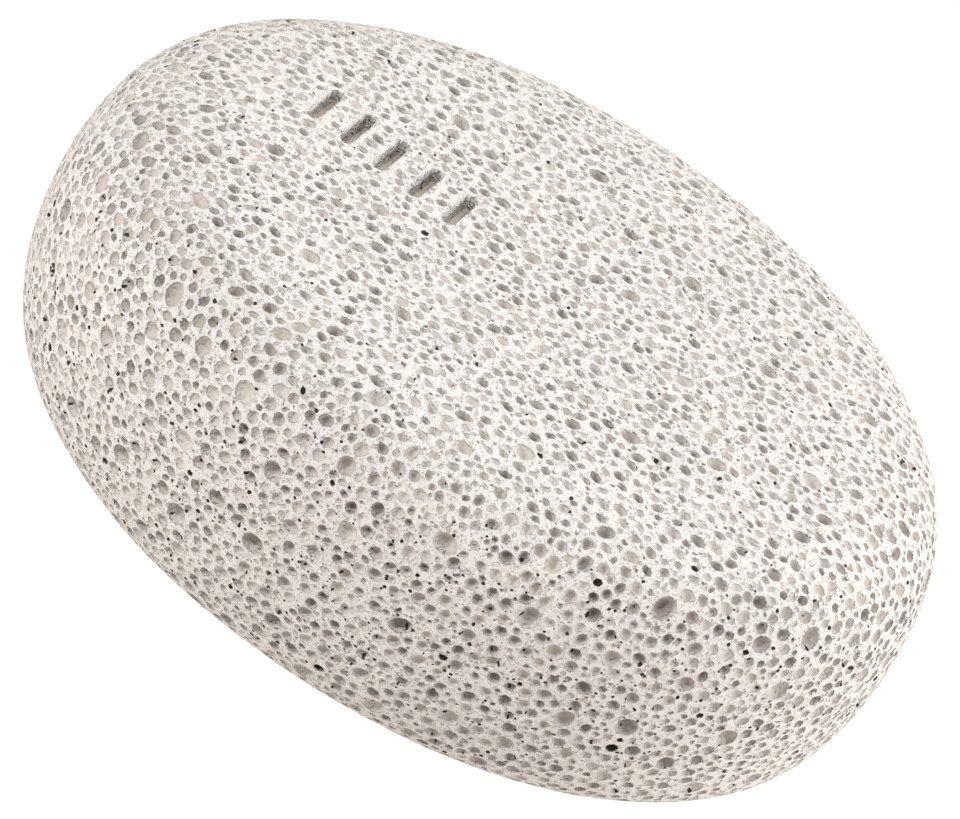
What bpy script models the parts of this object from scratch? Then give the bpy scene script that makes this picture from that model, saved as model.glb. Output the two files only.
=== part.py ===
"""A pumice stone for rubbing skin: one rounded, worn pebble of open-celled volcanic glass.

The stone is a single closed solid. Its largest open cells and a row of five plain notches
are part of its surface. Lengths are in metres, +Z is up, and the origin is at the middle of
the flat on which the stone rests.
"""
import math
import random

import bmesh
import bpy
import numpy as np
from mathutils.geometry import delaunay_2d_cdt

# The worn pebble
LENGTH = 0.0959            # along X
WIDTH = 0.0662             # along Y
HEIGHT = 0.0380            # along Z, with the underside worn flat
WORN_DEPTH = 0.0004        # what the flat underside has lost
DOME_HEIGHT = 0.0322       # half height that the round sides would reach if they met on top
PLAN_EXPONENT = 2.15       # 2 is an ellipse seen from above, and more is boxier
SIDE_EXPONENT = 2.4        # the same for the side view
SHOULDER_EXPONENT = 8.0    # how sharply the sides turn into the broad faces
CORNER_WEAR = 0.0096       # what wear takes off the plan's four diagonals
LOPSIDED = 0.0045          # how far the plan leans to three corners

# The open cells
CELL_COUNT = 430
CELL_RADIUS = (0.00074, 0.00125)     # smallest and largest opening
CELL_SKEW = 2.2                      # more gives fewer large cells
CELL_BROAD_SHARE = 0.4               # how many of them the broad faces keep, against the sides
CELL_BROAD_POWER = 4                 # more confines the broad faces' share to their flattest part
CELL_GAP = 0.0006                    # least land between two openings
CELL_TRIES = 4                       # places compared for each cell: more spreads them evenly
CELL_DEPTH = (0.65, 1.10)            # depth over opening radius
CELL_FLOOR = 0.55                    # floor radius over opening radius
CELL_SIDES = (6, 8)                  # sides of a small opening and of a large one
CELL_SIDES_CHANGE = 0.00096          # the opening radius at which the sides change
CELL_SEED = 41

# The row of notches on the top face
NOTCH_COUNT = 5
NOTCH_ROW_MIDDLE = (-0.0202, 0.0033)
NOTCH_ROW_ANGLE = math.radians(-9.5)
NOTCH_PITCH = 0.0044
NOTCH_LENGTH = 0.0054
NOTCH_WIDTH = 0.0013
NOTCH_DEPTH = 0.0017
NOTCH_FLOOR = 0.45                   # floor width over top width
NOTCH_END_SIDES = 3                  # straight sides round each end of a notch
NOTCH_SPOTS = (-1, -0.5, 0, 0.5, 1)  # where along a notch the cells keep clear of it

# The land between them
LAND_SPACING = 0.0038
LAND_CLEARANCE = 0.0013              # from an opening's rim to the nearest land point
LAND_MISSES = 400                    # places without room, one after another, before it counts as full
LAND_SEED = 7
REST_SPOT_RADIUS = 0.0050            # a plain spot in the middle of the underside
REST_SPOT_SIDES = 14

STONE_COLOR = (0.76, 0.72, 0.67, 1.0)
STONE_ROUGHNESS = 0.92
SHARP_ANGLE = math.radians(30)       # edges sharper than this are shaded as edges

SLOPE_STEP = 1e-6          # distance over which the skin's slope is measured
SAME_POINT = 1e-9          # map points closer than this are one
STEEP = 0.7                # a normal that leans up more than this is called steep

HALF_HEIGHT = (HEIGHT + WORN_DEPTH) / 2
SEMI_AXES = np.array([LENGTH / 2, WIDTH / 2, HALF_HEIGHT])


def blend(one, two, exponent):
    """Two lengths joined as the sides of a superellipse."""
    return (one ** exponent + two ** exponent) ** (1 / exponent)


def stretch(points):
    """How many times a point has to be shrunk towards the middle to lie on the pebble."""
    x, y, z = np.abs(points).T
    plan = blend(x / SEMI_AXES[0], y / SEMI_AXES[1], PLAN_EXPONENT)
    dome = blend(plan, z / DOME_HEIGHT, SIDE_EXPONENT)
    return blend(dome, z / HALF_HEIGHT, SHOULDER_EXPONENT)


def plan_wear(points):
    """Sideways scale that takes the plan's corners down and makes it a little lopsided."""
    x, y = points[:, 0] / SEMI_AXES[0], points[:, 1] / SEMI_AXES[1]
    reach, turn = np.hypot(x, y), np.arctan2(y, x)
    corners = CORNER_WEAR * (1 - np.cos(4 * turn)) * reach ** 4
    lean = LOPSIDED * np.sin(3 * turn) * reach ** 3
    scale = np.ones_like(points)
    scale[:, :2] -= (corners + lean)[:, None]
    return scale


def surface(directions):
    """Points of the pebble in the given directions of a unit ball."""
    rays = directions * SEMI_AXES
    points = rays / stretch(rays)[:, None]
    points *= plan_wear(points)
    points[:, 2] = np.maximum(points[:, 2], WORN_DEPTH - HALF_HEIGHT)
    return points


def ball_directions(points):
    """The directions that surface() takes to the given points."""
    rays = points / plan_wear(points) / SEMI_AXES
    return rays / np.linalg.norm(rays, axis=1)[:, None]


def outward(points):
    """Outward normals of the pebble at the given points."""
    slopes = [stretch(points + axis) - stretch(points - axis) for axis in np.eye(3) * SLOPE_STEP]
    normals = np.array(slopes).T
    return normals / np.linalg.norm(normals, axis=1)[:, None]


def random_spot(draw):
    """A random point, equally likely anywhere on the stone's skin."""
    while True:
        direction = np.array([draw.gauss(0, 1) for _ in range(3)])
        direction /= np.linalg.norm(direction)
        skin_share = np.linalg.norm(direction / SEMI_AXES) * SEMI_AXES.min()
        if draw.random() < skin_share:
            return surface(direction[None])[0]


class Spots:
    """Round spots on the skin that keep clear of each other."""

    def __init__(self):
        self.middles = np.empty((0, 3))
        self.radii = np.empty(0)

    def room_at(self, middle):
        """How far it is from a point to the nearest spot's edge."""
        gaps = np.linalg.norm(self.middles - middle, axis=1) - self.radii
        return gaps.min(initial=1.0)

    def add(self, middle, radius):
        self.middles = np.vstack([self.middles, middle])
        self.radii = np.append(self.radii, radius)


def face_axes(normal):
    """Two directions across the skin, square to its normal and to each other."""
    helper = np.array([0.0, 0.0, 1.0]) if abs(normal[2]) < STEEP else np.array([1.0, 0.0, 0.0])
    across = np.cross(helper, normal)
    across /= np.linalg.norm(across)
    return across, np.cross(normal, across)


class Skin:
    """The points of the stone's skin, with the outlines that its faces must keep."""

    def __init__(self):
        self.directions = []
        self.sunk = []
        self.outlines = []

    def add_points(self, points, depth=0.0, down=(0.0, 0.0, 0.0), outlined=False):
        start = len(self.directions)
        self.directions.extend(ball_directions(points))
        self.sunk.extend(depth * np.array(down) for _ in points)
        if outlined:
            ring = range(len(points))
            self.outlines += [(start + i, start + (i + 1) % len(points)) for i in ring]

    def add_hollow(self, rim, floor, depth, normal):
        self.add_points(rim, outlined=True)
        self.add_points(floor, depth, -normal, outlined=True)


def ring_points(middle, across, along, radius, sides, turn=0.0):
    angles = turn + np.arange(sides) * 2 * math.pi / sides
    return middle + radius * (np.outer(np.cos(angles), across) + np.outer(np.sin(angles), along))


def notch_outline(middle, across, along, half_length, half_width):
    """A long slot with round ends, as points on the face."""
    ends = []
    for side in (1, -1):
        tip = middle + side * (half_length - half_width) * along
        for i in range(NOTCH_END_SIDES + 1):
            angle = math.pi * i / NOTCH_END_SIDES
            ends.append(tip + side * half_width * (math.cos(angle) * across + math.sin(angle) * along))
    return np.array(ends)


def cut_notches(skin, spots):
    row = np.array([math.cos(NOTCH_ROW_ANGLE), math.sin(NOTCH_ROW_ANGLE), 0.0])
    along = np.array([-row[1], row[0], 0.0])
    down = np.array([0.0, 0.0, 1.0])
    for i in range(NOTCH_COUNT):
        place = (i - (NOTCH_COUNT - 1) / 2) * NOTCH_PITCH
        flat_place = np.array([*NOTCH_ROW_MIDDLE, HALF_HEIGHT]) + place * row
        middle = surface(ball_directions(flat_place[None]))[0]
        rim = notch_outline(middle, row, along, NOTCH_LENGTH / 2, NOTCH_WIDTH / 2)
        inset = NOTCH_WIDTH / 2 * (1 - NOTCH_FLOOR)
        floor = notch_outline(middle, row, along, NOTCH_LENGTH / 2 - inset, NOTCH_WIDTH / 2 - inset)
        skin.add_hollow(rim, floor, NOTCH_DEPTH, down)
        for step in NOTCH_SPOTS:
            reach = step * (NOTCH_LENGTH - NOTCH_WIDTH) / 2
            spots.add(middle + reach * along, NOTCH_WIDTH / 2)


def cell_spot(draw, spots, radius):
    """The roomiest of a few places for one open cell."""
    places = []
    while len(places) < CELL_TRIES:
        middle = random_spot(draw)
        lift = abs(outward(middle[None])[0, 2])
        wanted = 1 - (1 - CELL_BROAD_SHARE) * lift ** CELL_BROAD_POWER
        if draw.random() < wanted and spots.room_at(middle) > radius + CELL_GAP:
            places.append(middle)
    return max(places, key=spots.room_at)


def sink_cells(skin, spots):
    draw = random.Random(CELL_SEED)
    smallest, largest = CELL_RADIUS
    sizes = [smallest + (largest - smallest) * draw.random() ** CELL_SKEW for _ in range(CELL_COUNT)]
    for radius in sorted(sizes, reverse=True):
        middle = cell_spot(draw, spots, radius)
        spots.add(middle, radius)
        normal = outward(middle[None])[0]
        across, along = face_axes(normal)
        turn = draw.uniform(0, math.pi)
        depth = radius * draw.uniform(*CELL_DEPTH)
        sides = CELL_SIDES[radius > CELL_SIDES_CHANGE]
        rim = ring_points(middle, across, along, radius, sides, turn)
        floor = ring_points(middle, across, along, radius * CELL_FLOOR, sides // 2, turn)
        skin.add_hollow(rim, floor, depth, normal)


def fill_land(skin, spots):
    draw = random.Random(LAND_SEED)
    land = Spots()
    misses = 0
    while misses < LAND_MISSES:
        middle = random_spot(draw)
        if spots.room_at(middle) > LAND_CLEARANCE and land.room_at(middle) > LAND_SPACING:
            land.add(middle, 0.0)
            misses = 0
        else:
            misses += 1
    skin.add_points(land.middles)


def triangulate(directions, outlines):
    """Faces over the ball, found on a flat map drawn from the bottom of the ball."""
    flat_map = directions[:, :2] / (1 + directions[:, 2])[:, None]
    triangles_inside_hull = 0
    found = delaunay_2d_cdt(flat_map.tolist(), outlines, [], triangles_inside_hull, SAME_POINT)
    original = [ids[0] for ids in found[3]]
    return [[original[i] for i in face] for face in found[2]]


def build_mesh(skin):
    directions = np.array(skin.directions)
    points = surface(directions) + np.array(skin.sunk)
    points[:, 2] -= WORN_DEPTH - HALF_HEIGHT
    low, high = points.min(axis=0), points.max(axis=0)
    points[:, :2] -= ((low + high) / 2)[:2]
    bm = bmesh.new()
    verts = [bm.verts.new(p) for p in points]
    for face in triangulate(directions, skin.outlines):
        bm.faces.new([verts[i] for i in face])
    bm.verts.index_update()
    kept = {frozenset(edge) for edge in skin.outlines}
    land = [e for e in bm.edges if frozenset(v.index for v in e.verts) not in kept]
    bmesh.ops.beautify_fill(bm, faces=bm.faces, edges=land)
    bmesh.ops.holes_fill(bm, edges=[e for e in bm.edges if e.is_boundary], sides=0)
    bmesh.ops.recalc_face_normals(bm, faces=bm.faces)
    mesh = bpy.data.meshes.new("pumice_stone")
    bm.to_mesh(mesh)
    bm.free()
    return mesh


def stone_material():
    material = bpy.data.materials.new("pumice")
    material.use_nodes = True
    shader = material.node_tree.nodes["Principled BSDF"]
    shader.inputs["Base Color"].default_value = STONE_COLOR
    shader.inputs["Roughness"].default_value = STONE_ROUGHNESS
    shader.inputs["Metallic"].default_value = 0.0
    return material


def make_stone():
    skin = Skin()
    spots = Spots()
    bottom = np.array([0.0, 0.0, WORN_DEPTH - HALF_HEIGHT])
    spots.add(bottom, REST_SPOT_RADIUS)
    skin.add_points(ring_points(bottom, np.array([1.0, 0, 0]), np.array([0, 1.0, 0]), REST_SPOT_RADIUS,
                                REST_SPOT_SIDES))
    cut_notches(skin, spots)
    sink_cells(skin, spots)
    fill_land(skin, spots)
    mesh = build_mesh(skin)
    mesh.materials.append(stone_material())
    mesh.shade_smooth()
    mesh.set_sharp_from_angle(angle=SHARP_ANGLE)
    stone = bpy.data.objects.new("pumice_stone", mesh)
    bpy.context.scene.collection.objects.link(stone)


for old in list(bpy.data.objects):
    bpy.data.objects.remove(old, do_unlink=True)
make_stone()
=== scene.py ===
import math
import random

import bpy
import numpy as np
from mathutils import Matrix, Vector
from mathutils.geometry import delaunay_2d_cdt


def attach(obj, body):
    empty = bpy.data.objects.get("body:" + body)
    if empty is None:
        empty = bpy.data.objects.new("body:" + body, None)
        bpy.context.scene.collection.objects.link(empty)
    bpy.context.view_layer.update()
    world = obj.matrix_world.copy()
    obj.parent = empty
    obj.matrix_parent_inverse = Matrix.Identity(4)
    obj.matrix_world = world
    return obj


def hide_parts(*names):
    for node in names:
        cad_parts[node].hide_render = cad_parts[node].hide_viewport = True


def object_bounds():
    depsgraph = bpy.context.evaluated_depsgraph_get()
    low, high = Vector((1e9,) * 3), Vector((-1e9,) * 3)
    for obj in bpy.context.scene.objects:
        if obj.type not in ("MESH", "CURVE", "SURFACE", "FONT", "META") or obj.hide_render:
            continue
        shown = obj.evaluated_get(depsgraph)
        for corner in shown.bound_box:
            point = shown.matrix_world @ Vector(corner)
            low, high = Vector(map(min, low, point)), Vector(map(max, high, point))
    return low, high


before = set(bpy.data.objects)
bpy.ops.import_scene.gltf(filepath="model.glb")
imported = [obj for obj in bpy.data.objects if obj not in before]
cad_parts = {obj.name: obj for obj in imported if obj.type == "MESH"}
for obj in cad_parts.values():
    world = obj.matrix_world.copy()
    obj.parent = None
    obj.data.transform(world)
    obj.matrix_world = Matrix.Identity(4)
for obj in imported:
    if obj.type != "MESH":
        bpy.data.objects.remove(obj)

cadLow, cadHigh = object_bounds()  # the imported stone's own box
millimetre = 0.001


# camera: looks down on the stone and is rolled about its own line of sight
cameraSetup = {
    "elevation": math.radians(44.0),
    "azimuth": math.radians(3.7),  # round from looking along +Y
    "roll": math.radians(30.2),
    "distance": 0.700,
    "sensorWidth": 36.0,
    "framePixels": (960, 819),
    "focalPixels": 7080.0,  # focal length, in pixels of that frame
    "middlePixel": (481.4, 405.0),  # where the stone's middle falls in the frame
    "clipStart": 0.01,
}


def makeCamera(setup):
    data = bpy.data.cameras.new("stoneCamera")
    data.sensor_width = setup["sensorWidth"]
    data.lens = setup["focalPixels"] * setup["sensorWidth"] / setup["framePixels"][0]
    width, height = setup["framePixels"]
    data.shift_x = -(setup["middlePixel"][0] - width / 2) / width
    data.shift_y = (setup["middlePixel"][1] - height / 2) / width
    data.clip_start = setup["clipStart"]
    camera = bpy.data.objects.new("stoneCamera", data)
    bpy.context.scene.collection.objects.link(camera)
    low, high = Vector(cadLow), Vector(cadHigh)
    target = (low + high) / 2
    level = math.cos(setup["elevation"])
    away = Vector((math.sin(setup["azimuth"]) * level, -math.cos(setup["azimuth"]) * level,
                   math.sin(setup["elevation"])))
    view = (-away).to_track_quat("-Z", "Y").to_matrix().to_4x4()
    place = Matrix.Translation(target + away * setup["distance"])
    camera.matrix_world = place @ view @ Matrix.Rotation(setup["roll"], 4, "Z")
    bpy.context.scene.camera = camera


makeCamera(cameraSetup)
print("camera ready")


# small helper for node trees, used by the shape and by the finish
class NodeMaker:
    def __init__(self, tree):
        self.tree = tree

    def make(self, kind, values=None, out=0, **settings):
        node = self.tree.nodes.new(kind)
        for name, setting in settings.items():
            setattr(node, name, setting)
        for key, value in (values or {}).items():
            self.feed(self.socket(node, key), value)
        return self.output(node, out)

    def socket(self, node, key):
        if isinstance(key, int):
            return node.inputs[key]
        return next(s for s in node.inputs if s.name == key and s.enabled)

    def output(self, node, key):
        live = [s for s in node.outputs if s.enabled]
        if isinstance(key, int):
            return live[key]
        return next(s for s in live if s.name == key)

    def feed(self, socket, value):
        if isinstance(value, bpy.types.NodeSocket):
            self.tree.links.new(value, socket)
        else:
            socket.default_value = value

    def math(self, operation, *values):
        return self.make("ShaderNodeMath", dict(enumerate(values)), operation=operation)

    def vector(self, operation, *values, out=0):
        return self.make("ShaderNodeVectorMath", dict(enumerate(values)), out, operation=operation)

    def scaled(self, vector, factor):
        return self.make("ShaderNodeVectorMath", {0: vector, "Scale": factor}, operation="SCALE")

    def join(self, x, y, z):
        return self.make("ShaderNodeCombineXYZ", {0: x, 1: y, 2: z})

    def split(self, vector):
        node = self.make("ShaderNodeSeparateXYZ", {0: vector}).node
        return node.outputs[0], node.outputs[1], node.outputs[2]

    def remap(self, value, fromLow, fromHigh, toLow=0.0, toHigh=1.0):
        limits = {"From Min": fromLow, "From Max": fromHigh, "To Min": toLow, "To Max": toHigh}
        return self.make("ShaderNodeMapRange", {"Value": value, **limits})

    def mixColor(self, factor, one, two):
        return self.make("ShaderNodeMix", {"Factor": factor, "A": one, "B": two}, data_type="RGBA")

    def noise(self, vector, across, out="Fac", **values):
        settings = {"Vector": vector, "Scale": 1 / across, "Detail": 3.0, **values}
        return self.make("ShaderNodeTexNoise", settings, out)

    def bubbles(self, vector, perMm):
        return self.make("ShaderNodeTexVoronoi", {"Vector": vector, "Scale": perMm}, "Distance",
                         voronoi_dimensions="3D", feature="F1")


# the worn pebble, in metres
stoneForm = {
    "length": 0.0959,
    "width": 0.0662,
    "height": 0.0380,
    "wornDepth": 0.0004,  # what the flat underside has lost
    "domeHeight": 0.0322,  # half height that the round sides would reach if they met on top
    "planExponent": 2.15,  # 2 is an ellipse seen from above, and more is boxier
    "sideExponent": 2.4,
    "shoulderExponent": 8.0,  # how sharply the sides turn into the broad faces
    "cornerWear": 0.0096,  # share that wear takes off the plan's four diagonals
    "lopsided": 0.0045,  # share by which the plan leans to three corners
}
slopeStep = 1e-6  # distance over which the skin's slope is measured
halfHeight = (stoneForm["height"] + stoneForm["wornDepth"]) / 2
semiAxes = np.array([stoneForm["length"] / 2, stoneForm["width"] / 2, halfHeight])
skinShift = np.array([0.0, -semiAxes[1] * stoneForm["lopsided"], halfHeight - stoneForm["wornDepth"]])


# how many times farther out than the unworn surface each point lies
def stretchOf(points):
    x, y, z = np.abs(points).T
    n, p, k = stoneForm["planExponent"], stoneForm["sideExponent"], stoneForm["shoulderExponent"]
    plan = ((x / semiAxes[0]) ** n + (y / semiAxes[1]) ** n) ** (1 / n)
    dome = (plan ** p + (z / stoneForm["domeHeight"]) ** p) ** (1 / p)
    return (dome ** k + (z / halfHeight) ** k) ** (1 / k)


# how far wear draws each point in, as a scale of its x and y
def planWear(points):
    x, y = points[:, 0] / semiAxes[0], points[:, 1] / semiAxes[1]
    reach, turn = np.hypot(x, y), np.arctan2(y, x)
    corners = stoneForm["cornerWear"] * (1 - np.cos(4 * turn)) * reach ** 4
    lean = stoneForm["lopsided"] * np.sin(3 * turn) * reach ** 3
    scale = np.ones_like(points)
    scale[:, :2] -= (corners + lean)[:, None]
    return scale


# from directions on a ball to places on the pebble
def surfaceAt(directions):
    rays = directions * semiAxes
    points = rays / stretchOf(rays)[:, None]
    points *= planWear(points)
    points[:, 2] = np.maximum(points[:, 2], stoneForm["wornDepth"] - halfHeight)
    return points


# and from places on the pebble back to the ball
def ballDirections(points):
    rays = points / planWear(points) / semiAxes
    return rays / np.linalg.norm(rays, axis=1)[:, None]


def outwardAt(points):
    slopes = [stretchOf(points + axis) - stretchOf(points - axis) for axis in np.eye(3) * slopeStep]
    normals = np.array(slopes).T
    return normals / np.linalg.norm(normals, axis=1)[:, None]


# the largest open cells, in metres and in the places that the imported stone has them
largeCells = {
    "count": 430,
    "radius": (0.00074, 0.00125),
    "skew": 2.2,  # more gives fewer large ones
    "broadShare": 0.4,  # how many of them the broad faces keep, against the sides
    "broadPower": 4,  # more confines that to the flattest part
    "gap": 0.0006,
    "tries": 4,  # places compared for each cell: more spreads them evenly
    "depth": (0.65, 1.10),  # depth over radius
    "seed": 41,
    "restSpot": 0.0050,  # radius of a plain spot in the middle of the underside
}
notches = {
    "count": 5,
    "rowMiddle": (-0.0202, 0.0033),
    "rowAngle": math.radians(-9.5),
    "pitch": 0.0044,
    "length": 0.0054,
    "width": 0.0013,
    "depth": 0.0017,
    "clearSpots": (-1, -0.5, 0, 0.5, 1),  # where along a notch the large cells keep clear of it
    "landSpots": np.linspace(-1, 1, 9),  # the same for the finer cells
}


def notchLines():
    row = np.array([math.cos(notches["rowAngle"]), math.sin(notches["rowAngle"]), 0.0])
    along = np.array([-row[1], row[0], 0.0])
    lines = []
    for i in range(notches["count"]):
        place = (i - (notches["count"] - 1) / 2) * notches["pitch"]
        flatPlace = np.array([*notches["rowMiddle"], halfHeight]) + place * row
        middle = surfaceAt(ballDirections(flatPlace[None]))[0]
        reach = (notches["length"] - notches["width"]) / 2
        lines.append((middle, along * reach))
    return lines


def randomSpot(draw):
    while True:
        direction = np.array([draw.gauss(0, 1) for _ in range(3)])
        direction /= np.linalg.norm(direction)
        skinShare = np.linalg.norm(direction / semiAxes) * semiAxes.min()
        if draw.random() < skinShare:
            return surfaceAt(direction[None])[0]


def placeLargeCells():
    draw = random.Random(largeCells["seed"])
    middles = [np.array([0.0, 0.0, stoneForm["wornDepth"] - halfHeight])]
    radii = [largeCells["restSpot"]]
    for middle, reach in notchLines():
        for step in notches["clearSpots"]:
            middles.append(middle + step * reach)
            radii.append(notches["width"] / 2)
    blocked = len(middles)

    def roomAt(spot):
        return (np.linalg.norm(np.array(middles) - spot, axis=1) - radii).min()

    smallest, largest = largeCells["radius"]
    sizes = [smallest + (largest - smallest) * draw.random() ** largeCells["skew"]
             for _ in range(largeCells["count"])]
    depths = []
    for radius in sorted(sizes, reverse=True):
        places = []
        while len(places) < largeCells["tries"]:
            spot = randomSpot(draw)
            lift = abs(outwardAt(spot[None])[0, 2])
            wanted = 1 - (1 - largeCells["broadShare"]) * lift ** largeCells["broadPower"]
            if draw.random() < wanted and roomAt(spot) > radius + largeCells["gap"]:
                places.append(spot)
        middles.append(max(places, key=roomAt))
        radii.append(radius)
        draw.uniform(0, math.pi)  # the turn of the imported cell's rim, drawn to keep in step with it
        depths.append(draw.uniform(*largeCells["depth"]))
    return np.array(middles[blocked:]) + skinShift, np.array(radii[blocked:]), np.array(depths)


# layers of finer cells, from coarse to fine: each layer fills the land that the last one left
cellLayers = [
    # opening radius in millimetres, places tried for each square millimetre of the sides and
    # of the broad faces, depth over radius, share of deep holes, whose shade is painted near black
    {"radius": (0.54, 0.74), "sides": 0.42, "broad": 0.06, "depth": (0.60, 1.15), "holes": 0.003},
    {"radius": (0.42, 0.58), "sides": 1.70, "broad": 0.95, "depth": (0.60, 1.35), "holes": 0.012},
    {"radius": (0.30, 0.44), "sides": 2.40, "broad": 3.20, "depth": (0.65, 1.45), "holes": 0.045},
    {"radius": (0.17, 0.27), "sides": 1.00, "broad": 1.60, "depth": (0.70, 1.45), "holes": 0.15},
]
cellPacking = {
    "gap": 0.01,  # least land between two finer cells, in millimetres
    "box": 1.0,  # side of the boxes that the cells are sorted into
    "skinArea": 17400,  # square millimetres, a little more than the pebble has
    "spareSpots": 1.9,  # places drawn for each one kept, because the pebble is longer than it is thick
    "broadFrom": 0.70,  # upward lean of the surface at which a broad face starts
    "broadSpan": 0.25,  # and how much more of it makes the face fully broad
    "holeDepth": 1.9,  # depth over radius of a deep hole, whose shade is painted near black
    "plainDark": 0.56,  # painted shade of the deepest plain cells, where a hole painted near black is 1
    "largeDark": 0.45,  # the same painted shade for the deepest of the largest cells
    "wholeOnTop": 0.93,  # share of the deep holes, painted near black, that the broad faces lack
    "longest": 0.16,  # how much a cell may be drawn out along one direction
    "longPower": 1.5,  # more leaves most cells rounder
    "flow": 0.16,  # and how much further along the stone on the broad faces
    "flowSpread": 0.45,  # how far the cells there may turn from that direction, in radians
    "wornLarge": 0.20,  # how much smaller the largest cells open on the broad faces
    "notchLand": 0.22,  # whole land round a notch
    "poleRadius": 0.35,  # the plain spot on the underside from which the net is drawn
    "poleSides": 6,
    "seed": 23,
}
# corners of the mesh round an opening and on its inner ring, for openings above a radius in
# millimetres, and how far out they lie
cellMesh = [
    {"above": 0.73, "sides": 14, "inner": 7, "innerReach": 0.62, "rimReach": 1.03, "middle": True},
    {"above": 0.53, "sides": 9, "inner": 4, "innerReach": 0.58, "rimReach": 1.05, "middle": False},
    {"above": 0.29, "sides": 6, "inner": 0, "innerReach": 0.0, "rimReach": 1.09, "middle": True},
    {"above": 0.0, "sides": 5, "inner": 0, "innerReach": 0.0, "rimReach": 1.12, "middle": True},
]
# the same for a notch's rim and floor, and how uneven they are
notchMesh = [
    {"sides": 28, "reach": 1.0, "chips": 0.32},
    {"sides": 16, "reach": 0.52, "chips": 0.16},
]
samePoint = 1e-9  # net points closer than this are one


# cells sorted into boxes, so that the room at a place is found quickly
class PackedCells:
    def __init__(self, widest):
        self.box = cellPacking["box"] * millimetre
        self.widest = widest
        self.boxes = {}

    def add(self, spot, radius):
        reach = (radius + self.widest) * (1 + cellPacking["flow"])
        low = [math.floor((v - reach) / self.box) for v in spot]
        high = [math.floor((v + reach) / self.box) for v in spot]
        x, y, z = spot
        for i in range(low[0], high[0] + 1):
            for j in range(low[1], high[1] + 1):
                for k in range(low[2], high[2] + 1):
                    self.boxes.setdefault((i, j, k), []).append((x, y, z, radius))

    def hasRoom(self, spot, radius, flow):
        x, y, z = spot
        near = self.boxes.get(tuple(math.floor(v / self.box) for v in spot), ())
        return all(((a - x) / flow) ** 2 + ((b - y) * flow) ** 2 + (c - z) ** 2 > (r + radius) ** 2
                   for a, b, c, r in near)


def tangents(normals):
    steep = 0.7  # past this lean, up is no help in finding a direction across
    helper = np.where(np.abs(normals[:, 2:]) < steep, [[0.0, 0.0, 1.0]], [[1.0, 0.0, 0.0]])
    across = np.cross(helper, normals)
    across /= np.linalg.norm(across, axis=1)[:, None]
    return across, np.cross(normals, across)


def manySpots(draw, perSquareMm):
    count = int(perSquareMm * cellPacking["skinArea"] * cellPacking["spareSpots"])
    directions = draw.normal(size=(count, 3))
    directions /= np.linalg.norm(directions, axis=1)[:, None]
    skinShare = np.linalg.norm(directions / semiAxes, axis=1) * semiAxes.min()
    return surfaceAt(directions[draw.random(len(directions)) < skinShare])


def broadShareAt(points):
    lean = np.abs(outwardAt(points)[:, 2])
    return np.clip((lean - cellPacking["broadFrom"]) / cellPacking["broadSpan"], 0, 1)


def drawnOut(draw, count):
    return 1 + cellPacking["longest"] * draw.random(count) ** cellPacking["longPower"]


def cellAxes(draw, points):
    normals = outwardAt(points)
    across, along = tangents(normals)
    turn = draw.uniform(0, math.pi, len(points))[:, None]
    loose = np.cos(turn) * across + np.sin(turn) * along
    flowing = np.eye(3)[0] - normals * normals[:, :1]
    flowing /= np.linalg.norm(flowing, axis=1)[:, None]
    spread = cellPacking["flowSpread"] * draw.uniform(-1, 1, len(points))[:, None]
    flowing = np.cos(spread) * flowing + np.sin(spread) * np.cross(normals, flowing)
    axes = np.where(draw.random(len(points))[:, None] < broadShareAt(points)[:, None], flowing, loose)
    return axes, normals


def rimReachOf(radii):
    larger = [radii > kind["above"] * millimetre for kind in cellMesh]
    return np.select(larger, [kind["rimReach"] for kind in cellMesh])


def placeFineCells(large, largeRadii, largeStretch):
    draw = np.random.default_rng(cellPacking["seed"])
    gap = cellPacking["gap"] * millimetre
    widest = cellLayers[0]["radius"][1] * millimetre * (1 + cellPacking["longest"])
    packed = PackedCells(widest * cellMesh[-1]["rimReach"] + gap)
    for spot, outer in zip(large, largeRadii * largeStretch * rimReachOf(largeRadii)):
        packed.add(spot.tolist(), outer)
    notchRoom = notches["width"] / 2 + cellPacking["notchLand"] * millimetre
    for middle, reach in notchLines():
        for step in notches["landSpots"]:
            packed.add((middle + step * reach).tolist(), notchRoom)
    packed.add([0.0, 0.0, stoneForm["wornDepth"] - halfHeight], cellPacking["poleRadius"] * millimetre)
    found = []
    for layer in cellLayers:
        spots = manySpots(draw, max(layer["sides"], layer["broad"]))
        wanted = layer["sides"] + (layer["broad"] - layer["sides"]) * broadShareAt(spots)
        spots = spots[draw.random(len(spots)) < wanted / max(layer["sides"], layer["broad"])]
        flat = broadShareAt(spots)
        radii = draw.uniform(*layer["radius"], len(spots)) * millimetre
        stretches = drawnOut(draw, len(spots))
        outers = radii * stretches * rimReachOf(radii)
        flows = 1 + cellPacking["flow"] * flat
        luck = draw.random(len(spots)) + layer["holes"] * cellPacking["wholeOnTop"] * flat
        count = 0
        columns = (spots, radii, stretches, outers, luck, flows)
        for spot, radius, stretch, outer, chance, flow in zip(*(column.tolist() for column in columns)):
            if not packed.hasRoom(spot, outer + gap, flow):
                continue
            packed.add(spot, outer)
            hole = chance < layer["holes"]
            plain = min((chance - layer["holes"]) / (1 - layer["holes"]), 1.0)
            ratio = cellPacking["holeDepth"] if hole else np.interp(plain, (0, 1), layer["depth"])
            # painted shade: deeper cells get a darker colour, and a deep hole the darkest
            dark = 1.0 if hole else plain ** 2 * cellPacking["plainDark"]
            found.append((*spot, radius, ratio, dark, stretch * flow))
            count += 1
        print("cells of", layer["radius"], "mm:", count)
    return np.array(found)


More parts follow.
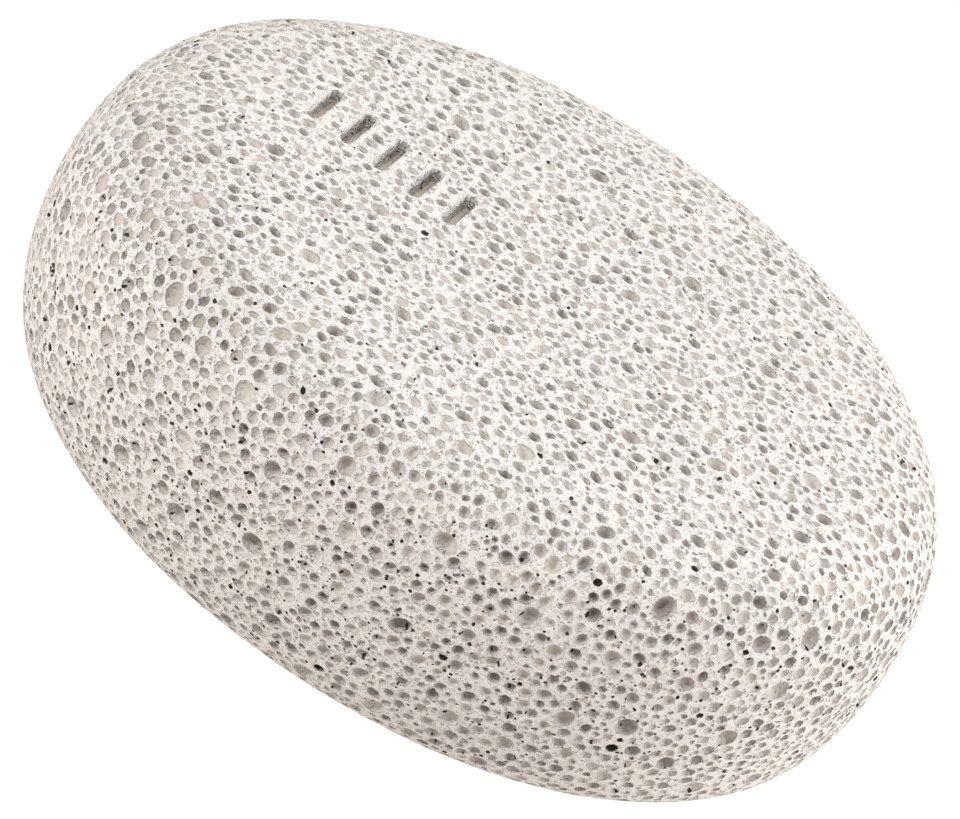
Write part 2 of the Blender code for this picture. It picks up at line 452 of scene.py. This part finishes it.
def placeCells():
    large, largeRadii, depths = placeLargeCells()
    large = large - skinShift
    largeRadii = largeRadii * (1 - cellPacking["wornLarge"] * broadShareAt(large))
    # painted shade: the deeper of the largest cells get a darker colour
    dark = ((depths - depths.min()) / np.ptp(depths)) ** 2 * cellPacking["largeDark"]
    draw = np.random.default_rng(cellPacking["seed"] + 1)
    largeStretch = drawnOut(draw, len(large))
    fine = placeFineCells(large, largeRadii, largeStretch)
    largeStretch *= 1 + cellPacking["flow"] * broadShareAt(large)
    slots = notchLines()
    slotRadius = notches["width"] / 2
    middles = np.vstack([large, fine[:, :3], [middle for middle, _ in slots]])
    axes, normals = cellAxes(draw, middles)
    axes[-len(slots):] = slots[0][1] / np.linalg.norm(slots[0][1])
    reach = np.zeros(len(middles))
    reach[-len(slots):] = np.linalg.norm(slots[0][1])
    tones = draw.random(len(middles))
    tones[-len(slots):] = 1.0

    def joined(largeValues, fineColumn, slotValue):
        return np.concatenate([largeValues, fine[:, fineColumn], np.full(len(slots), slotValue)])

    return {
        "middle": middles,
        "axis": axes,
        "side": np.cross(normals, axes),
        "reach": reach,  # half the straight part of a notch, and 0 for a cell
        "radius": joined(largeRadii, 3, slotRadius),
        "ratio": joined(depths, 4, notches["depth"] / slotRadius),
        "dark": joined(dark, 5, 0.0),
        "stretch": joined(largeStretch, 6, 1.0),
        "tone": tones,
    }


# points on a ball, round and inside every cell, and the outlines that the faces must keep
class CellNet:
    def __init__(self):
        self.directions, self.owner, self.away, self.outlines = [], [], [], []
        self.size = 0

    def add(self, points, owner, away, outlined):
        rings, sides = points.shape[:2]
        self.directions.append(ballDirections(points.reshape(-1, 3)))
        self.owner.append(np.repeat(owner, sides))
        self.away.append(np.full(rings * sides, away))
        if outlined:
            ids = self.size + np.arange(rings * sides).reshape(rings, sides)
            self.outlines.append(np.stack([ids, np.roll(ids, -1, axis=1)], axis=2).reshape(-1, 2))
        self.size += rings * sides


def ringPoints(cells, chosen, sides, reach, offset=0.0):
    angles = (np.arange(sides) + offset) * 2 * math.pi / sides
    span = cells["radius"][chosen][:, None] * reach
    cos, sin = np.cos(angles)[None], np.sin(angles)[None]
    ahead = span * cos * cells["stretch"][chosen][:, None]
    end = np.sign(np.round(cos, 6))  # which end of a notch the point belongs to
    ahead = ahead + end * cells["reach"][chosen][:, None]
    beside = span * sin / cells["stretch"][chosen][:, None]
    along = ahead[..., None] * cells["axis"][chosen][:, None]
    across = beside[..., None] * cells["side"][chosen][:, None]
    return cells["middle"][chosen][:, None] + (along + across)


def drawNet(cells):
    net = CellNet()
    pole = {
        "middle": np.array([[0.0, 0.0, stoneForm["wornDepth"] - halfHeight]]),
        "axis": np.eye(3)[:1],
        "side": np.eye(3)[1:2],
        "radius": np.array([cellPacking["poleRadius"] * millimetre]),
        "stretch": np.ones(1),
        "reach": np.zeros(1),
    }
    poleRing = ringPoints(pole, np.array([0]), cellPacking["poleSides"], 1.0)
    net.add(poleRing, np.array([-1]), 1.0, False)
    above = math.inf
    size = cells["radius"] / millimetre
    for kind in cellMesh:
        chosen = np.flatnonzero((size > kind["above"]) & (size <= above) & (cells["reach"] == 0))
        above = kind["above"]
        net.add(ringPoints(cells, chosen, kind["sides"], kind["rimReach"]), chosen, 1.0, True)
        if kind["inner"]:
            inner = ringPoints(cells, chosen, kind["inner"], kind["innerReach"])
            net.add(inner, chosen, kind["innerReach"], True)
        if kind["middle"]:
            net.add(cells["middle"][chosen][:, None], chosen, 0.0, False)
    slots = np.flatnonzero(cells["reach"] > 0)
    draw = np.random.default_rng(cellPacking["seed"] + 2)
    for ring in notchMesh:
        rough = ring["reach"] + ring["chips"] * draw.random((len(slots), ring["sides"]))
        net.add(ringPoints(cells, slots, ring["sides"], rough, 0.5), slots, ring["reach"], True)
    return net


def netFaces(net):
    directions = np.vstack(net.directions)
    owner, away = np.concatenate(net.owner), np.concatenate(net.away)
    # the ball is laid flat from its lowest point, so that one flat net covers it
    flatMap = directions[:, :2] / (1 + directions[:, 2])[:, None]
    outlines = np.vstack(net.outlines).tolist()
    places, _, faces, original, _, _ = delaunay_2d_cdt(flatMap.tolist(), outlines, [], 0, samePoint)
    # where two outlines cross, a land point is added
    crossings = np.array([place for place, ids in zip(places, original) if not ids]).reshape(-1, 2)
    spread = 1 + (crossings ** 2).sum(axis=1)[:, None]
    lifted = np.hstack([2 * crossings / spread, 2 / spread - 1])
    added = iter(range(len(directions), len(directions) + len(crossings)))
    origin = np.array([ids[0] if ids else next(added) for ids in original])
    print("net drawn:", len(faces), "faces,", len(crossings), "points where outlines cross")
    directions = np.vstack([directions, lifted])
    owner = np.append(owner, np.full(len(crossings), -1))
    away = np.append(away, np.ones(len(crossings)))
    return directions, owner, away, origin[np.array(faces)]


def writeCells(mesh, cells, faceOwner, owner, away):
    def put(name, kind, domain, values):
        field = "vector" if kind == "FLOAT_VECTOR" else "value"
        mesh.attributes.new(name, kind, domain).data.foreach_set(field, values.astype(np.float32).ravel())

    def perFace(values):
        padded = np.concatenate([values, np.zeros_like(values[:1])])  # the last row is the land's
        return padded[faceOwner]

    middles = surfaceAt(ballDirections(cells["middle"])) + skinShift
    put("cellMiddle", "FLOAT_VECTOR", "FACE", perFace(middles / millimetre))
    put("cellAxis", "FLOAT_VECTOR", "FACE", perFace(cells["axis"]))
    for key in ("radius", "reach"):
        put("cell" + key.title(), "FLOAT", "FACE", perFace(cells[key] / millimetre))
    for key in ("ratio", "stretch", "dark", "tone"):
        put("cell" + key.title(), "FLOAT", "FACE", perFace(cells[key]))
    put("openRadius", "FLOAT", "POINT", np.append(cells["radius"], 0.0)[owner])
    put("depthRatio", "FLOAT", "POINT", np.append(cells["ratio"], 0.0)[owner])
    put("awayShare", "FLOAT", "POINT", away)


def meshNet(cells):
    directions, owner, away, faces = netFaces(drawNet(cells))
    mesh = bpy.data.meshes.new("cellNet")
    poleFace = list(range(cellPacking["poleSides"]))
    mesh.from_pydata(directions.tolist(), [], faces.tolist() + [poleFace])
    owners = owner[faces]
    inside = (owners[:, 0] == owners[:, 1]) & (owners[:, 1] == owners[:, 2]) & (owners[:, 0] >= 0)
    faceOwner = np.append(np.where(inside, owners[:, 0], -1), -1)
    writeCells(mesh, cells, faceOwner, owner, away)
    return mesh


# unevenness of the whole surface, in millimetres
skinFinish = {
    "swell": 0.10,  # height of slow lumps
    "swellSize": 9.0,
    "lump": 0.035,  # height of the rims' unevenness
    "lumpSize": 0.9,
    "sunkShare": 0.99,  # points nearer a cell's middle than this share of its radius are sunk
}
leastRatio = 0.001  # keeps land, which has no ratio, from a division by zero


def ballToPebble(m, direction, size):
    x, y, z = m.split(direction)
    ax, ay, az = (m.math("ABSOLUTE", v) for v in (x, y, z))

    def blend(one, two, exponent):
        total = m.math("ADD", m.math("POWER", one, exponent), m.math("POWER", two, exponent))
        return m.math("POWER", total, m.math("DIVIDE", 1.0, exponent))

    plan = blend(ax, ay, size["Plan Exponent"])
    rise = m.math("MULTIPLY", az, m.math("DIVIDE", size["Half Height"], size["Dome Height"]))
    dome = blend(plan, rise, size["Side Exponent"])
    stretch = blend(dome, az, size["Shoulder Exponent"])
    x, y, z = (m.math("DIVIDE", v, stretch) for v in (x, y, z))
    reach = m.math("SQRT", m.math("ADD", m.math("MULTIPLY", x, x), m.math("MULTIPLY", y, y)))
    turn = m.math("ARCTAN2", y, x)
    corners = m.math("SUBTRACT", 1.0, m.math("COSINE", m.math("MULTIPLY", turn, 4.0)))
    corners = m.math("MULTIPLY", corners, m.math("POWER", reach, 4.0))
    corners = m.math("MULTIPLY", corners, size["Corner Wear"])
    lean = m.math("MULTIPLY", m.math("SINE", m.math("MULTIPLY", turn, 3.0)), m.math("POWER", reach, 3.0))
    lean = m.math("MULTIPLY", lean, size["Lopsided"])
    wear = m.math("SUBTRACT", 1.0, m.math("ADD", corners, lean))
    x = m.math("MULTIPLY", m.math("MULTIPLY", x, size["Half Length"]), wear)
    y = m.math("MULTIPLY", m.math("MULTIPLY", y, size["Half Width"]), wear)
    z = m.math("MULTIPLY", z, size["Half Height"])
    z = m.math("MAXIMUM", z, m.math("SUBTRACT", size["Worn Depth"], size["Half Height"]))
    return m.vector("ADD", m.join(x, y, z), tuple(skinShift))


def bubbleDepth(m, radius, ratio, away):
    # a bubble of radius (1 + ratio^2) / 2 ratio, sunk so that it opens at the wanted radius
    squared = m.math("MULTIPLY", ratio, ratio)
    share = m.math("DIVIDE", radius, m.math("MAXIMUM", m.math("MULTIPLY", ratio, 2.0), leastRatio))
    bubble = m.math("MULTIPLY", share, m.math("ADD", squared, 1.0))
    sunk = m.math("MULTIPLY", share, m.math("SUBTRACT", squared, 1.0))
    under = m.math("SUBTRACT", m.math("MULTIPLY", bubble, bubble), m.math("MULTIPLY", away, away))
    return m.math("ADD", sunk, m.math("SQRT", m.math("MAXIMUM", under, 0.0)))


def stoneTree():
    tree = bpy.data.node_groups.new("pumiceStone", "GeometryNodeTree")
    sizes = {
        "Half Length": semiAxes[0],
        "Half Width": semiAxes[1],
        "Half Height": halfHeight,
        "Dome Height": stoneForm["domeHeight"],
        "Plan Exponent": stoneForm["planExponent"],
        "Side Exponent": stoneForm["sideExponent"],
        "Shoulder Exponent": stoneForm["shoulderExponent"],
        "Corner Wear": stoneForm["cornerWear"],
        "Lopsided": stoneForm["lopsided"],
        "Worn Depth": stoneForm["wornDepth"],
        "Swell": skinFinish["swell"] * millimetre,
        "Swell Size": skinFinish["swellSize"] * millimetre,
        "Lump": skinFinish["lump"] * millimetre,
        "Lump Size": skinFinish["lumpSize"] * millimetre,
    }
    settings = {}

    def addInput(name, kind):
        return tree.interface.new_socket(name=name, in_out="INPUT", socket_type=kind).identifier

    addInput("Net", "NodeSocketGeometry")
    for name, value in sizes.items():
        settings[addInput(name, "NodeSocketFloat")] = value
    settings[addInput("Finish", "NodeSocketMaterial")] = pumiceFinish
    tree.interface.new_socket(name="Stone", in_out="OUTPUT", socket_type="NodeSocketGeometry")
    m = NodeMaker(tree)
    size = tree.nodes.new("NodeGroupInput").outputs

    def keep(skin, name, value):
        return m.make("GeometryNodeStoreNamedAttribute", {"Geometry": skin, "Name": name, "Value": value},
                      data_type="FLOAT_VECTOR", domain="POINT")

    def named(name):
        return m.make("GeometryNodeInputNamedAttribute", {"Name": name}, data_type="FLOAT")

    def lumps(height, across):
        scale = m.math("DIVIDE", 1.0, across)
        noise = m.make("ShaderNodeTexNoise", {"Scale": scale, "Detail": 1.0}, "Fac")
        return m.math("MULTIPLY", m.math("SUBTRACT", noise, 0.5), m.math("MULTIPLY", height, 2.0))

    pebble = ballToPebble(m, m.make("GeometryNodeInputPosition"), size)
    skin = m.make("GeometryNodeSetPosition", {"Geometry": size["Net"], "Position": pebble})
    skin = keep(skin, "restPlace", m.scaled(m.make("GeometryNodeInputPosition"), 1 / millimetre))
    skin = keep(skin, "landNormal", m.make("GeometryNodeInputNormal"))
    radius, ratio, share = named("openRadius"), named("depthRatio"), named("awayShare")
    depth = bubbleDepth(m, radius, ratio, m.math("MULTIPLY", radius, share))
    depth = m.math("MULTIPLY", depth, m.math("LESS_THAN", share, skinFinish["sunkShare"]))
    swell = lumps(size["Swell"], size["Swell Size"])
    raised = m.math("ADD", swell, lumps(size["Lump"], size["Lump Size"]))
    moved = m.scaled(m.make("GeometryNodeInputNormal"), m.math("SUBTRACT", raised, depth))
    skin = m.make("GeometryNodeSetPosition", {"Geometry": skin, "Offset": moved})
    skin = m.make("GeometryNodeSetShadeSmooth", {"Geometry": skin, "Shade Smooth": True})
    skin = m.make("GeometryNodeRealizeInstances", {"Geometry": skin})
    skin = m.make("GeometryNodeSetMaterial", {"Geometry": skin, "Material": size["Finish"]})
    m.feed(tree.nodes.new("NodeGroupOutput").inputs[0], skin)
    return tree, settings


# finish of the stone: dry, matt, warm off-white glass foam, with painted shade in its cells, vesicles,
# holes and pores and a painted highlight on the cells' lips, with lengths in millimetres
stoneColors = {
    "land": (0.87, 0.83, 0.79, 1.0),
    # painted highlight: the lips round the cells are coloured lighter than the land, as where light
    # catches them
    "lipAndPaintedHighlight": (0.93, 0.905, 0.88, 1.0),
    # painted shade: the cell colour is what the cells' walls and floors are darkened toward, and also the
    # tone of the land's soft patches
    "cell": (0.635, 0.577, 0.525, 1.0),
    # painted shade of the deepest cells and of the fine vesicles
    "dark": (0.20, 0.163, 0.13, 1.0),
    # painted shade: a deep hole's inside and a pore are coloured near black
    "hole": (0.06, 0.046, 0.036, 1.0),
    "beige": (0.62, 0.55, 0.46, 1.0),
    "rose": (0.83, 0.775, 0.745, 1.0),
    "roughness": 0.95,
    "specular": 0.15,
    "warp": 0.20,  # how far noise pulls the outlines out of round
    "warpSize": 0.62,
    "rosy": 0.35,  # how far wide patches of the land turn rosy
    "rosyFrom": (0.35, 0.7),  # noise values between which they do
    "rosySize": 6.25,
    "mottle": 0.34,  # how far the land darkens toward the cells' colour in soft patches
    "mottleFrom": (0.42, 0.72),
    "mottleSize": 0.50,
    "fray": 0.13,  # how rough an outline is
    "notchFray": 0.30,  # and how much rougher round a notch
    "frayMiddle": 0.45,  # noise value at which an outline stays where it is
    "fraySize": 0.34,
    "rimWidth": 0.035,  # how far the change from land to cell takes
    "rimShade": 0.50,  # how much of a cell's painted shade its walls show near the rim
    "fullShade": 0.25,  # share of the radius inside which they show all of the painted shade
    # width of the lips, which are a low ridge in the bump and carry a painted highlight, and the ridge's
    # height
    "lipWidth": 0.062,
    "lipHeight": 0.042,
    "beigeCells": 0.6,  # how far the most beige cells turn beige
    "beigeFrom": (0.6, 1.0),  # tones between which they do
    "darkAt": 0.6,  # darkness at which a cell is painted in the dark colour, as painted shade
    "holeFrom": (0.8, 0.95),  # darkness between which a cell is painted near black, as the shade of a hole
    # fine vesicles: how many lie along a millimetre, their radius and depth, and how dark their painted
    # shade is
    "vesicles": [
        {"perMm": 1.3, "radius": 0.30, "depth": 0.18, "dark": 0.25},
        {"perMm": 2.5, "radius": 0.13, "depth": 0.09, "dark": 0.45},
        {"perMm": 4.6, "radius": 0.075, "depth": 0.06, "dark": 0.50},
    ],
    "leastVesicle": 0.3,  # radius of the smallest ones, as a share of the largest
    "vesicleEdge": 0.75,  # share of the radius inside which their painted shade is full
    "fewerInCells": 0.9,  # how far they fade inside the cells
    # small black holes on the land and in the cells, painted as shade with no relief, with the chance
    # above which one is there
    "pores": {"perMm": 1.5, "radius": 0.25, "least": 0.4, "edge": 0.04, "above": 0.74, "fewerOnTop": 0.22},
    "grainSize": 0.16,
    "grainDepth": 0.042,
    "grainRoughness": 0.65,
}
nothing = 0.01  # a radius or a reach smaller than this is none, as on the land
leastStretch = 0.5  # keeps land, which has no stretch, from a division by zero


def makePumiceFinish():
    material = bpy.data.materials.new("pumice")
    material.use_nodes = True
    tree = material.node_tree
    m = NodeMaker(tree)
    shader = tree.nodes["Principled BSDF"]
    shader.inputs["Roughness"].default_value = stoneColors["roughness"]
    shader.inputs["Specular IOR Level"].default_value = stoneColors["specular"]

    def named(name, out="Fac"):
        return m.make("ShaderNodeAttribute", {}, out, attribute_name=name)

    # the pebble before its cells, and the stone as it is
    place = named("restPlace", "Vector")
    solid = m.scaled(m.make("ShaderNodeTexCoord", {}, "Object"), 1 / millimetre)
    bend = m.vector("SUBTRACT", m.noise(solid, stoneColors["warpSize"], "Color"), (0.5, 0.5, 0.5))
    bent = m.vector("ADD", place, m.scaled(bend, 2 * stoneColors["warp"]))

    # distance from the middle of the cell that owns the face, measured so that its rim is at its radius
    radius, reach, stretch = named("cellRadius"), named("cellReach"), named("cellStretch")
    offset = m.vector("SUBTRACT", bent, named("cellMiddle", "Vector"))
    ahead = m.vector("DOT_PRODUCT", offset, named("cellAxis", "Vector"), out="Value")
    whole = m.vector("DOT_PRODUCT", offset, offset, out="Value")
    beside = m.math("SUBTRACT", whole, m.math("MULTIPLY", ahead, ahead))
    held = m.math("MINIMUM", m.math("MAXIMUM", ahead, m.math("MULTIPLY", reach, -1.0)), reach)
    ahead = m.math("DIVIDE", m.math("SUBTRACT", ahead, held), m.math("MAXIMUM", stretch, leastStretch))
    beside = m.math("MULTIPLY", beside, m.math("MULTIPLY", stretch, stretch))
    away = m.math("SQRT", m.math("ADD", m.math("MULTIPLY", ahead, ahead), beside))
    isNotch = m.math("GREATER_THAN", reach, nothing)
    rough = m.math("ADD", m.math("MULTIPLY", isNotch, stoneColors["notchFray"]), stoneColors["fray"])
    fray = m.noise(solid, stoneColors["fraySize"], Detail=2.0)
    fray = m.math("SUBTRACT", fray, stoneColors["frayMiddle"])
    away = m.math("ADD", away, m.math("MULTIPLY", fray, m.math("MULTIPLY", rough, 2.0)))
    inCell = m.remap(away, radius, m.math("SUBTRACT", radius, stoneColors["rimWidth"]))
    depth = m.math("MULTIPLY", bubbleDepth(m, radius, named("cellRatio"), away), inCell)

    # the land, in soft patches
    rosy = m.noise(place, stoneColors["rosySize"])
    rosy = m.remap(rosy, *stoneColors["rosyFrom"], 0.0, stoneColors["rosy"])
    color = m.mixColor(rosy, stoneColors["land"], stoneColors["rose"])
    mottle = m.noise(solid, stoneColors["mottleSize"])
    mottle = m.remap(mottle, *stoneColors["mottleFrom"], 0.0, stoneColors["mottle"])
    color = m.mixColor(mottle, color, stoneColors["cell"])

    # the cells, each with its own tone and with painted shade that deepens toward the middle and with the
    # cell's darkness, and their lips with a painted highlight
    dark = named("cellDark")
    tint = m.remap(named("cellTone"), *stoneColors["beigeFrom"], 0.0, stoneColors["beigeCells"])
    cellToneAndPaintedShade = m.mixColor(tint, stoneColors["cell"], stoneColors["beige"])
    cellToneAndPaintedShade = m.mixColor(m.remap(dark, 0.0, stoneColors["darkAt"]), cellToneAndPaintedShade, stoneColors["dark"])
    share = m.math("DIVIDE", away, m.math("MAXIMUM", radius, nothing))
    # painted shade: each cell's colour is graded from lighter at the rim to fully darkened toward the
    # middle
    sunk = m.remap(share, 1.0, stoneColors["fullShade"], stoneColors["rimShade"], 1.0)
    # painted shade: the darkest cells, the deep holes, are coloured near black
    hole = m.remap(dark, *stoneColors["holeFrom"])
    cellToneAndPaintedShade = m.mixColor(m.math("MAXIMUM", sunk, hole), color, cellToneAndPaintedShade)
    cellToneAndPaintedShade = m.mixColor(hole, cellToneAndPaintedShade, stoneColors["hole"])
    # the lips: a low ridge in the bump, and a painted highlight in the colour
    lipAndPaintedHighlight = m.remap(m.math("ABSOLUTE", m.math("SUBTRACT", away, radius)), stoneColors["lipWidth"], 0.0)
    lipAndPaintedHighlight = m.math("MULTIPLY", lipAndPaintedHighlight, m.math("GREATER_THAN", radius, nothing))
    color = m.mixColor(inCell, m.mixColor(lipAndPaintedHighlight, color, stoneColors["lipAndPaintedHighlight"]), cellToneAndPaintedShade)

    # grain, fine vesicles and pores, with painted shade in the vesicles and pores
    grain = m.noise(solid, stoneColors["grainSize"], Roughness=stoneColors["grainRoughness"])
    height = m.math("MULTIPLY", grain, stoneColors["grainDepth"])
    onLand = m.math("SUBTRACT", 1.0, m.math("MULTIPLY", inCell, stoneColors["fewerInCells"]))
    for vesicle in stoneColors["vesicles"]:
        bubble = m.bubbles(bent, vesicle["perMm"])
        chance = m.split(m.output(bubble.node, "Color"))[0]
        least = vesicle["radius"] * stoneColors["leastVesicle"]
        size = m.remap(chance, 0.0, 1.0, least, vesicle["radius"])
        apart = m.math("DIVIDE", m.math("DIVIDE", bubble, vesicle["perMm"]), size)
        inside = m.math("MULTIPLY", m.remap(apart, 1.0, stoneColors["vesicleEdge"]), onLand)
        # painted shade: the vesicles' bowls are coloured darker, on top of their bump
        color = m.mixColor(m.math("MULTIPLY", inside, vesicle["dark"]), color, stoneColors["dark"])
        bowl = m.math("SUBTRACT", 1.0, m.math("MULTIPLY", apart, apart))
        bowl = m.math("SQRT", m.math("MAXIMUM", bowl, 0.0))
        bowl = m.math("MULTIPLY", m.math("MULTIPLY", bowl, vesicle["depth"]), onLand)
        height = m.math("SUBTRACT", height, bowl)
    pores = stoneColors["pores"]
    bubble = m.bubbles(bent, pores["perMm"])
    chance, spread, _ = m.split(m.output(bubble.node, "Color"))
    size = m.remap(spread, 0.0, 1.0, pores["radius"] * pores["least"], pores["radius"])
    paintedPore = m.math("SUBTRACT", m.math("DIVIDE", bubble, pores["perMm"]), size)
    paintedPore = m.remap(paintedPore, 0.0, -pores["edge"])
    rise = m.math("ABSOLUTE", m.split(named("landNormal", "Vector"))[2])
    above = m.math("ADD", m.math("MULTIPLY", rise, pores["fewerOnTop"]), pores["above"])
    paintedPore = m.math("MULTIPLY", paintedPore, m.math("GREATER_THAN", chance, above))
    # painted shade: a pore is only a black spot, with no relief under it
    color = m.mixColor(paintedPore, color, stoneColors["hole"])

    height = m.math("ADD", height, m.math("MULTIPLY", lipAndPaintedHighlight, stoneColors["lipHeight"]))
    relief = {"Strength": 1.0, "Distance": millimetre, "Height": m.math("SUBTRACT", height, depth)}
    bump = m.make("ShaderNodeBump", {**relief, "Normal": named("landNormal", "Vector")}, "Normal")
    m.feed(shader.inputs["Base Color"], color)
    m.feed(shader.inputs["Normal"], bump)
    return material


pumiceFinish = makePumiceFinish()


def makeStone():
    net = meshNet(placeCells())
    blank = bpy.data.objects.new("pumiceBlank", net)
    bpy.context.scene.collection.objects.link(blank)
    tree, settings = stoneTree()
    grower = blank.modifiers.new("cells", "NODES")
    grower.node_group = tree
    for identifier, value in settings.items():
        grower[identifier] = value
    graph = bpy.context.evaluated_depsgraph_get()
    mesh = bpy.data.meshes.new_from_object(blank.evaluated_get(graph))
    mesh.name = "pumiceSkin"
    stone = bpy.data.objects.new("pumiceSkin", mesh)
    bpy.context.scene.collection.objects.link(stone)
    bpy.data.objects.remove(blank, do_unlink=True)
    mesh.calc_loop_triangles()
    print("stone carved:", len(mesh.loop_triangles), "triangles")
    return stone


stone = makeStone()
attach(stone, "root")
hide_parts("pumice_stone")


# pale floor and soft light
stage = {
    "floorSize": 6.0,
    "floorColor": (0.25, 0.25, 0.25, 1.0),
    "floorRoughness": 0.9,
    "floorGlow": 0.74,  # a faint light of its own, which keeps the floor pale in the stone's shade
    "floorPale": 0.14,  # and a little more of it that only the camera sees
    "floorWarm": (1.0, 0.93, 0.86, 1.0),  # colour of the light that it throws on the stone
    "floorSeen": (1.0, 1.0, 1.0, 1.0),  # and of the floor itself
    "skyStrength": 0.0,
    # where each stands, its width in metres and its power in watts
    "lights": {
        "highLight": {"place": (-0.40, -0.38, 1.02), "size": 0.20, "power": 4.9},
        "leftLight": {"place": (-0.95, -0.48, 0.43), "size": 0.20, "power": 6.7},
        "nearLight": {"place": (0.21, -0.79, 0.81), "size": 0.20, "power": 1.3},
        "rightLight": {"place": (1.02, 0.05, 0.50), "size": 0.90, "power": 12.3},
        "backLight": {"place": (0.16, 0.93, 0.66), "size": 0.80, "power": 8.0},
    },
}


def makeFloor():
    mesh = bpy.data.meshes.new("floor")
    half = stage["floorSize"] / 2
    corners = [(-half, -half, 0), (half, -half, 0), (half, half, 0), (-half, half, 0)]
    mesh.from_pydata(corners, [], [(0, 1, 2, 3)])
    floor = bpy.data.objects.new("floor", mesh)
    bpy.context.scene.collection.objects.link(floor)
    material = bpy.data.materials.new("floorPaper")
    material.use_nodes = True
    shader = material.node_tree.nodes["Principled BSDF"]
    shader.inputs["Base Color"].default_value = stage["floorColor"]
    shader.inputs["Roughness"].default_value = stage["floorRoughness"]
    shader.inputs["Specular IOR Level"].default_value = 0.0
    m = NodeMaker(material.node_tree)
    seen = m.make("ShaderNodeLightPath", {}, "Is Camera Ray")
    m.feed(shader.inputs["Emission Color"], m.mixColor(seen, stage["floorWarm"], stage["floorSeen"]))
    glow = m.math("ADD", m.math("MULTIPLY", seen, stage["floorPale"]), stage["floorGlow"])
    m.feed(shader.inputs["Emission Strength"], glow)
    mesh.materials.append(material)


def makeLight(name, setup):
    data = bpy.data.lights.new(name, "AREA")
    data.shape = "DISK"
    data.size = setup["size"]
    data.energy = setup["power"]
    light = bpy.data.objects.new(name, data)
    bpy.context.scene.collection.objects.link(light)
    place = Vector(setup["place"])
    turn = (-place).to_track_quat("-Z", "Y").to_matrix().to_4x4()  # towards the stone
    light.matrix_world = Matrix.Translation(place) @ turn


def makeStage():
    makeFloor()
    for name, setup in stage["lights"].items():
        makeLight(name, setup)
    world = bpy.data.worlds.new("studio")
    world.use_nodes = True
    world.node_tree.nodes["Background"].inputs["Strength"].default_value = stage["skyStrength"]
    bpy.context.scene.world = world
    bpy.context.scene.view_settings.view_transform = "Standard"


makeStage()
print("stage ready")
